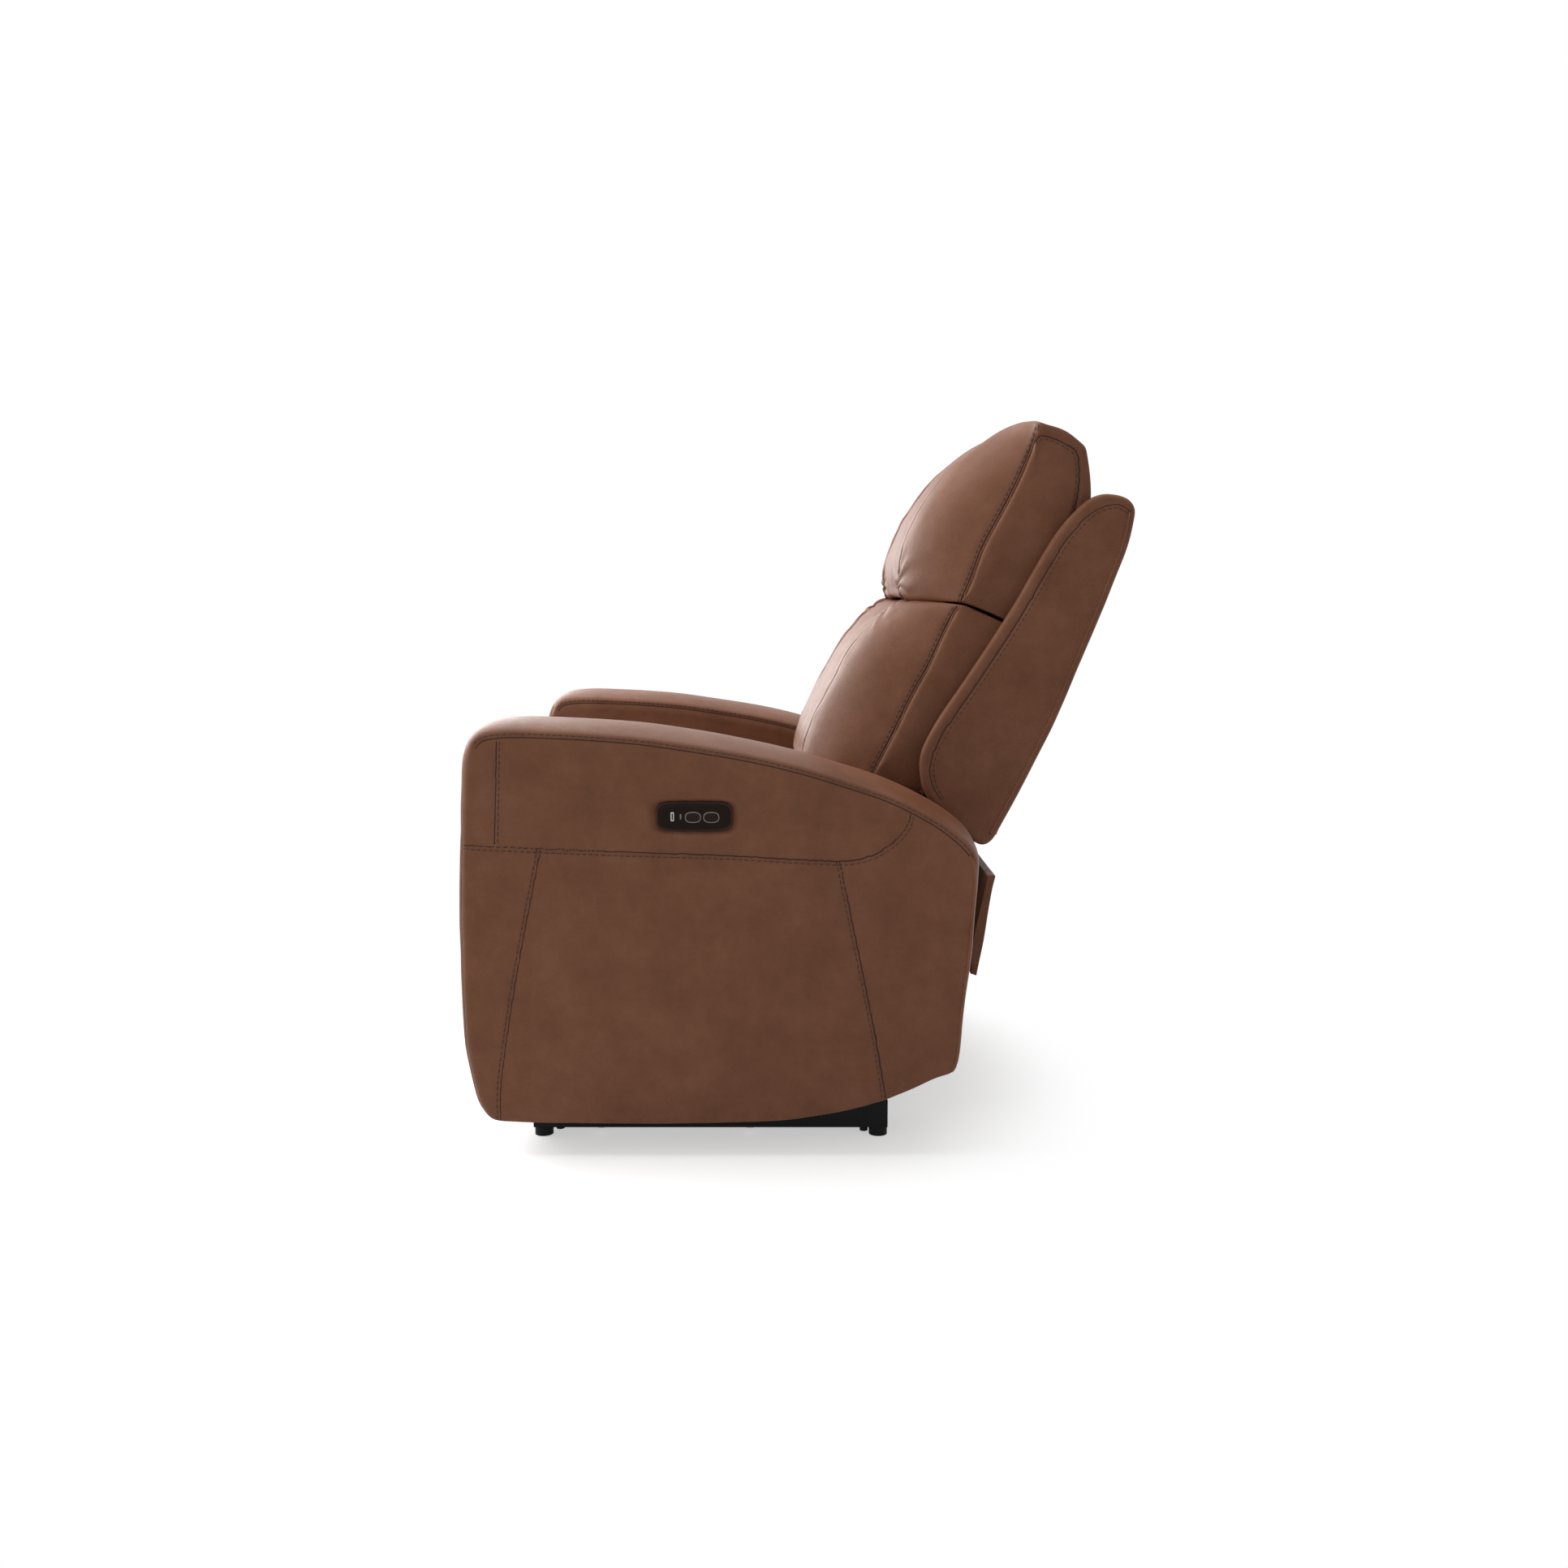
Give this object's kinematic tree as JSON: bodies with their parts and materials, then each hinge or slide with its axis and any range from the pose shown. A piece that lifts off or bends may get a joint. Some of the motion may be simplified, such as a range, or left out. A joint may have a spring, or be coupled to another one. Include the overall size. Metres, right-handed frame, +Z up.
{
  "type": "recliner armchair",
  "caption": "Leather power recliner armchair with padded arms, a gliding seat, a reclining back, a linkage footrest and a push-button panel in one arm.",
  "frame": {"origin": "on the floor, under the middle of the chair's closed outline", "axes": "+X to the sitter's left, -Y to the front, +Z up"},
  "size_m": [0.94, 0.9739, 1.0527],
  "materials": {
    "leather": "semi-gloss pebbled brown leather with matching stitching",
    "wood": "raw plywood and softwood",
    "webbing": "black woven webbing and dust cloth",
    "gloss_black": "gloss dark brown-black moulded plastic",
    "black_plastic": "matte black moulded plastic",
    "bright_steel": "zinc plated steel",
    "black_steel": "black powder coat"
  },
  "bodies": {
    "base": {"left_base_rail": "black_steel", "right_base_rail": "black_steel", "front_cross_tube": "black_steel", "rear_cross_tube": "black_steel", "floor_glides": "black_plastic", "level_stops": "black_plastic", "rear_foot_brackets": "black_steel", "bracket_bolts": "bright_steel", "arm_bolts": "bright_steel", "base_plates": "black_steel", "swing_pins": "bright_steel", "rear_valance": "leather", "valance_rail": "wood", "switch_bezel": "gloss_black", "switch_housing": "gloss_black", "usb_port": "bright_steel", "left_arm_inner_cover": "leather", "left_arm_frame": "wood", "left_arm_outer_cover": "leather", "left_arm_top_pad": "leather", "left_arm_front_pad": "leather", "right_arm_inner_cover": "leather", "right_arm_frame": "wood", "right_arm_outer_cover": "leather", "right_arm_top_pad": "leather", "right_arm_front_pad": "leather"},
    "rear_swing": {"rear_swing_links": "black_steel"},
    "front_swing": {"front_swing_links": "black_steel"},
    "seat": {"seat_plates": "black_steel", "seat_pins": "bright_steel", "seat_side_rails": "wood", "seat_cross_rails": "wood", "seat_spacers": "wood", "seat_webbing": "webbing", "seat_cushion": "leather", "actuator_motor": "black_steel", "actuator_track": "black_steel", "power_inlet": "black_plastic"},
    "back": {"back_outer_panel": "leather", "back_bottom_panel": "webbing", "back_uprights": "wood", "back_cross_rails": "wood", "back_brackets": "black_steel", "back_wings": "leather", "lumbar_cushion": "leather", "head_cushion": "leather"},
    "crank": {"footrest_cranks": "black_steel", "torque_tube": "black_steel", "drive_lever": "black_steel", "crank_pins": "bright_steel"},
    "foot_link": {"foot_links": "black_steel"},
    "stay_link": {"stay_links": "black_steel"},
    "footrest": {"footrest_brackets": "black_steel", "footrest_pins": "bright_steel", "footrest_board": "wood", "footrest_pad": "leather"},
    "drive": {"drive_forks": "black_steel", "drive_nut": "black_steel"},
    "return_button": {"return_button": "gloss_black"},
    "recline_button": {"recline_button": "gloss_black"}
  },
  "joints": [
    {"name": "back_recline", "type": "hinge", "parent": "seat", "child": "back", "pos_m": [0, 0.23, 0.4], "axis": [-1, 0, 0], "range_deg": [0, 40]},
    {"name": "seat_glide", "type": "hinge", "parent": "base", "child": "rear_swing", "pos_m": [0, 0, 0.09], "axis": [1, 0, 0], "range_deg": [0, 50]},
    {"name": "seat_level", "type": "hinge", "parent": "rear_swing", "child": "seat", "pos_m": [0, 0.05071, 0.19876], "axis": [-1, 0, 0], "range_deg": [0, 50]},
    {"name": "front_glide", "type": "hinge", "parent": "base", "child": "front_swing", "pos_m": [0, -0.3, 0.09], "axis": [1, 0, 0], "range_deg": [0, 50]},
    {"name": "footrest_extend", "type": "hinge", "parent": "seat", "child": "crank", "pos_m": [0, -0.223, 0.27], "axis": [-1, 0, 0], "range_deg": [0, 85]},
    {"name": "foot_link_turn", "type": "hinge", "parent": "crank", "child": "foot_link", "pos_m": [0, -0.28837, 0.06518], "axis": [1, 0, 0], "range_deg": [0, 119]},
    {"name": "stay_link_turn", "type": "hinge", "parent": "crank", "child": "stay_link", "pos_m": [0, -0.29515, 0.11471], "axis": [1, 0, 0], "range_deg": [0, 119]},
    {"name": "footrest_turn", "type": "hinge", "parent": "foot_link", "child": "footrest", "pos_m": [0, -0.42026, 0.23522], "axis": [-1, 0, 0], "range_deg": [0, 119]},
    {"name": "drive_slide", "type": "slide", "parent": "seat", "child": "drive", "axis": [0, -1, 0], "range_m": [0, 0.0744]},
    {"name": "return_press", "type": "slide", "parent": "base", "child": "return_button", "axis": [-1, 0, 0], "range_m": [0, 0.0015], "stiffness_N_per_m": 600, "springref_m": -0.001},
    {"name": "recline_press", "type": "slide", "parent": "base", "child": "recline_button", "axis": [-1, 0, 0], "range_m": [0, 0.0015], "stiffness_N_per_m": 600, "springref_m": -0.001}
  ],
  "couplings": [
    {"joint": "seat_glide", "follows": "back_recline", "ratio": 1.25},
    {"joint": "seat_level", "follows": "back_recline", "ratio": 1.25},
    {"joint": "front_glide", "follows": "back_recline", "ratio": 1.25},
    {"joint": "foot_link_turn", "follows": "footrest_extend", "ratio": 1.4},
    {"joint": "stay_link_turn", "follows": "footrest_extend", "ratio": 1.4},
    {"joint": "footrest_turn", "follows": "footrest_extend", "ratio": 1.4},
    {"joint": "drive_slide", "follows": "footrest_extend", "m_per_rad": 0.050093}
  ]
}
